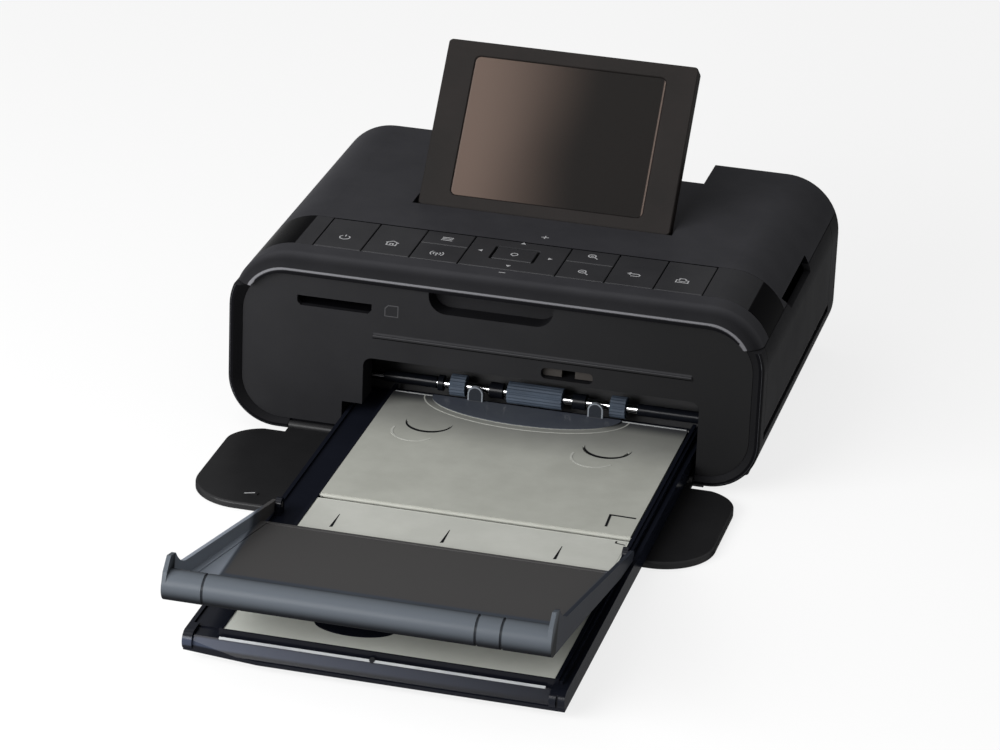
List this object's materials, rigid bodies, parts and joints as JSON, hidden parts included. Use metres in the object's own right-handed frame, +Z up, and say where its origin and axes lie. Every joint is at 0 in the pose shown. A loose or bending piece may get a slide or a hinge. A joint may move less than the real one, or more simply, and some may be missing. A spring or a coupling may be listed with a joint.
{
  "type": "compact photo printer",
  "caption": "Compact photo printer with rounded body, tilting display, key strip, open front flap, side door and a paper cassette with a raised output lid.",
  "frame": {"origin": "bottom centre of the whole printer with its cassette in place, on the table", "axes": "+X to the printer's right seen from the front, +Y from the cassette's front towards the rear, +Z up"},
  "size_m": [0.1806, 0.3246, 0.11],
  "materials": {
    "charcoal_satin": "satin",
    "matte_black": "matte",
    "gloss_black": "gloss",
    "key_charcoal": "satin",
    "bezel_brown": "satin",
    "display_glass": "polished",
    "screen": "gloss",
    "grey_panel": "satin",
    "navy_smoke": "gloss",
    "smoke_lid": "gloss",
    "roller_rubber": "matte",
    "steel": "polished",
    "plate_steel": "satin",
    "aluminium": "satin",
    "gear_white": "satin",
    "paper": "matte",
    "board_green": "satin",
    "foot_rubber": "matte",
    "ribbon_film": "gloss",
    "ribbon_housing": "satin",
    "bush_plastic": "satin"
  },
  "bodies": {
    "printer": {"top_cover": "charcoal_satin", "lower_case": "charcoal_satin", "front_panel": "matte_black", "catch_plate": "grey_panel", "key_frame": "gloss_black", "key_board": "board_green", "motor": "steel", "left_plate": "plate_steel", "right_plate": "plate_steel", "shaft_bushes": "bush_plastic", "rear_bracket": "plate_steel", "paper_guide": "matte_black", "ink_ribbon": "ribbon_film", "ribbon_cassette": "ribbon_housing", "main_board": "board_green", "card_reader": "plate_steel", "power_board": "board_green", "dc_jack": "matte_black", "usb_ports": "plate_steel", "cooling_fan": "matte_black", "feet": "foot_rubber", "case_screws": "steel"},
    "display": {"display_back": "bezel_brown", "display_bezel": "bezel_brown", "display_window": "display_glass", "lcd_panel": "screen"},
    "side_door": {"ink_door": "charcoal_satin"},
    "flap": {"front_cover": "matte_black"},
    "cassette": {"cassette_tray": "navy_smoke", "paper_stack": "paper", "front_deck": "grey_panel"},
    "paper_cover": {"inner_cover": "grey_panel"},
    "lid": {"output_lid": "smoke_lid"},
    "pickup": {"pickup_shaft": "steel", "pickup_gear": "gear_white", "pickup_sleeves": "matte_black", "pickup_rollers": "roller_rubber"},
    "feed": {"feed_roller": "steel", "feed_gear": "gear_white"},
    "pinch": {"pinch_roller": "roller_rubber"},
    "platen": {"platen_roller": "roller_rubber"},
    "reduction": {"reduction_gear": "gear_white"},
    "motor_rotor": {"motor_pinion": "gear_white"},
    "take_up": {"take_up_spool": "ribbon_housing"},
    "supply": {"supply_spool": "ribbon_housing"},
    "fan": {"fan_rotor": "matte_black"},
    "head": {"head_arm": "plate_steel", "thermal_head": "plate_steel", "heat_sink": "aluminium"},
    "pad_frame": {"pad_carrier": "matte_black"},
    "pad": {"pad_key": "key_charcoal"},
    "ok_button": {"ok_key": "key_charcoal"},
    "power_button": {"power_key": "key_charcoal"},
    "home_button": {"home_key": "key_charcoal"},
    "menu_button": {"menu_key": "key_charcoal"},
    "wireless_button": {"wireless_key": "key_charcoal"},
    "zoom_in_button": {"zoom_in_key": "key_charcoal"},
    "zoom_out_button": {"zoom_out_key": "key_charcoal"},
    "back_button": {"back_key": "key_charcoal"},
    "print_button": {"print_key": "key_charcoal"}
  },
  "joints": [
    {"name": "display_tilt", "type": "hinge", "parent": "printer", "child": "display", "pos_m": [0, 0.09326, 0.0606], "axis": [1, 0, 0], "range_deg": [-53, 0]},
    {"name": "side_door_swing", "type": "hinge", "parent": "printer", "child": "side_door", "pos_m": [0.0873, 0.0907, 0.022], "axis": [0, 1, 0], "range_deg": [0, 90]},
    {"name": "flap_swing", "type": "hinge", "parent": "printer", "child": "flap", "pos_m": [0, 0.0279, 0.0029], "axis": [-1, 0, 0], "range_deg": [0, 0.25]},
    {"name": "cassette_slide", "type": "slide", "parent": "printer", "child": "cassette", "axis": [0, -1, 0], "range_m": [0, 0.035]},
    {"name": "paper_cover_swing", "type": "hinge", "parent": "cassette", "child": "paper_cover", "pos_m": [0, -0.0381, 0.0107], "axis": [1, 0, 0], "range_deg": [0, 8]},
    {"name": "lid_swing", "type": "hinge", "parent": "cassette", "child": "lid", "pos_m": [0, -0.0516, 0.012], "axis": [-1, 0, 0], "range_deg": [0, 118]},
    {"name": "feed_turn", "type": "hinge", "parent": "printer", "child": "feed", "pos_m": [0, 0.068, 0.0173], "axis": [1, 0, 0], "continuous": true},
    {"name": "pickup_turn", "type": "hinge", "parent": "printer", "child": "pickup", "pos_m": [0, 0.052, 0.0148], "axis": [1, 0, 0], "continuous": true},
    {"name": "pinch_turn", "type": "hinge", "parent": "printer", "child": "pinch", "pos_m": [0, 0.068, 0.02405], "axis": [1, 0, 0], "continuous": true},
    {"name": "platen_turn", "type": "hinge", "parent": "printer", "child": "platen", "pos_m": [0, 0.0844, 0.0148], "axis": [1, 0, 0], "continuous": true},
    {"name": "reduction_turn", "type": "hinge", "parent": "printer", "child": "reduction", "pos_m": [-0.083, 0.07995, 0.0242], "axis": [1, 0, 0], "continuous": true},
    {"name": "motor_turn", "type": "hinge", "parent": "printer", "child": "motor_rotor", "pos_m": [-0.083, 0.09795, 0.0242], "axis": [1, 0, 0], "continuous": true},
    {"name": "take_up_turn", "type": "hinge", "parent": "printer", "child": "take_up", "pos_m": [0, 0.0704, 0.037], "axis": [1, 0, 0], "continuous": true},
    {"name": "supply_turn", "type": "hinge", "parent": "printer", "child": "supply", "pos_m": [0, 0.1144, 0.033], "axis": [1, 0, 0], "continuous": true},
    {"name": "fan_turn", "type": "hinge", "parent": "printer", "child": "fan", "pos_m": [-0.0652, 0.1554, 0.026], "axis": [0, 1, 0], "continuous": true},
    {"name": "head_lift", "type": "hinge", "parent": "printer", "child": "head", "pos_m": [0, 0.1024, 0.0474], "axis": [-1, 0, 0], "range_deg": [0, 4]},
    {"name": "pad_tilt_front_rear", "type": "hinge", "parent": "printer", "child": "pad_frame", "pos_m": [0, 0.0532, 0.06045], "axis": [1, 0, 0], "range_deg": [-0.8, 0.8], "stiffness_Nm_per_rad": 0.05},
    {"name": "pad_tilt_left_right", "type": "hinge", "parent": "pad_frame", "child": "pad", "pos_m": [0, 0.0532, 0.06045], "axis": [0, 1, 0], "range_deg": [-0.8, 0.8], "stiffness_Nm_per_rad": 0.05},
    {"name": "power_press", "type": "slide", "parent": "printer", "child": "power_button", "axis": [0, 0, -1], "range_m": [0, 0.0004], "stiffness_N_per_m": 800, "springref_m": -0.0005},
    {"name": "home_press", "type": "slide", "parent": "printer", "child": "home_button", "axis": [0, 0, -1], "range_m": [0, 0.0004], "stiffness_N_per_m": 800, "springref_m": -0.0005},
    {"name": "menu_press", "type": "slide", "parent": "printer", "child": "menu_button", "axis": [0, 0, -1], "range_m": [0, 0.0004], "stiffness_N_per_m": 800, "springref_m": -0.0005},
    {"name": "wireless_press", "type": "slide", "parent": "printer", "child": "wireless_button", "axis": [0, 0, -1], "range_m": [0, 0.0004], "stiffness_N_per_m": 800, "springref_m": -0.0005},
    {"name": "zoom_in_press", "type": "slide", "parent": "printer", "child": "zoom_in_button", "axis": [0, 0, -1], "range_m": [0, 0.0004], "stiffness_N_per_m": 800, "springref_m": -0.0005},
    {"name": "zoom_out_press", "type": "slide", "parent": "printer", "child": "zoom_out_button", "axis": [0, 0, -1], "range_m": [0, 0.0004], "stiffness_N_per_m": 800, "springref_m": -0.0005},
    {"name": "back_press", "type": "slide", "parent": "printer", "child": "back_button", "axis": [0, 0, -1], "range_m": [0, 0.0004], "stiffness_N_per_m": 800, "springref_m": -0.0005},
    {"name": "print_press", "type": "slide", "parent": "printer", "child": "print_button", "axis": [0, 0, -1], "range_m": [0, 0.0004], "stiffness_N_per_m": 800, "springref_m": -0.0005},
    {"name": "ok_press", "type": "slide", "parent": "printer", "child": "ok_button", "axis": [0, 0, -1], "range_m": [0, 0.0004], "stiffness_N_per_m": 800, "springref_m": -0.0005}
  ],
  "couplings": [
    {"joint": "pickup_turn", "follows": "feed_turn", "ratio": -1.25},
    {"joint": "reduction_turn", "follows": "feed_turn", "ratio": -1.875},
    {"joint": "motor_turn", "follows": "feed_turn", "ratio": 7.5},
    {"joint": "pinch_turn", "follows": "feed_turn", "ratio": -1.1667},
    {"joint": "platen_turn", "follows": "feed_turn", "ratio": 0.58333},
    {"joint": "take_up_turn", "follows": "feed_turn", "ratio": -0.76087},
    {"joint": "supply_turn", "follows": "feed_turn", "ratio": -0.4375}
  ]
}
